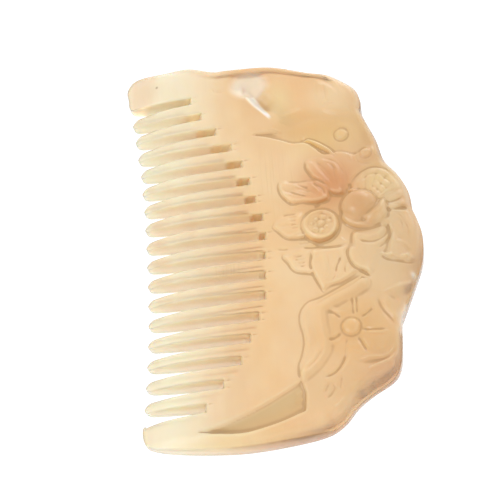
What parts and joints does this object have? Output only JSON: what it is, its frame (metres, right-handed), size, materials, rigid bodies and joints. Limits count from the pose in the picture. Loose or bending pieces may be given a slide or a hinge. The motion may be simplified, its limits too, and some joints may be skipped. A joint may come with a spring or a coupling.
{
  "type": "hair comb",
  "caption": "Flat carved horn comb with a curved spine, a row of sawn tapering teeth between two guards, and flower relief on one face.",
  "frame": {"origin": "centre of the bounding box in X and Y, on the flat back", "axes": "+Z out of the carved face, +Y along the comb towards the wide guard, +X from the tooth tips to the spine"},
  "size_m": [0.0724, 0.1058, 0.0104],
  "materials": {
    "horn": "polished translucent horn"
  },
  "bodies": {
    "root": {"comb": "horn"}
  },
  "joints": []
}
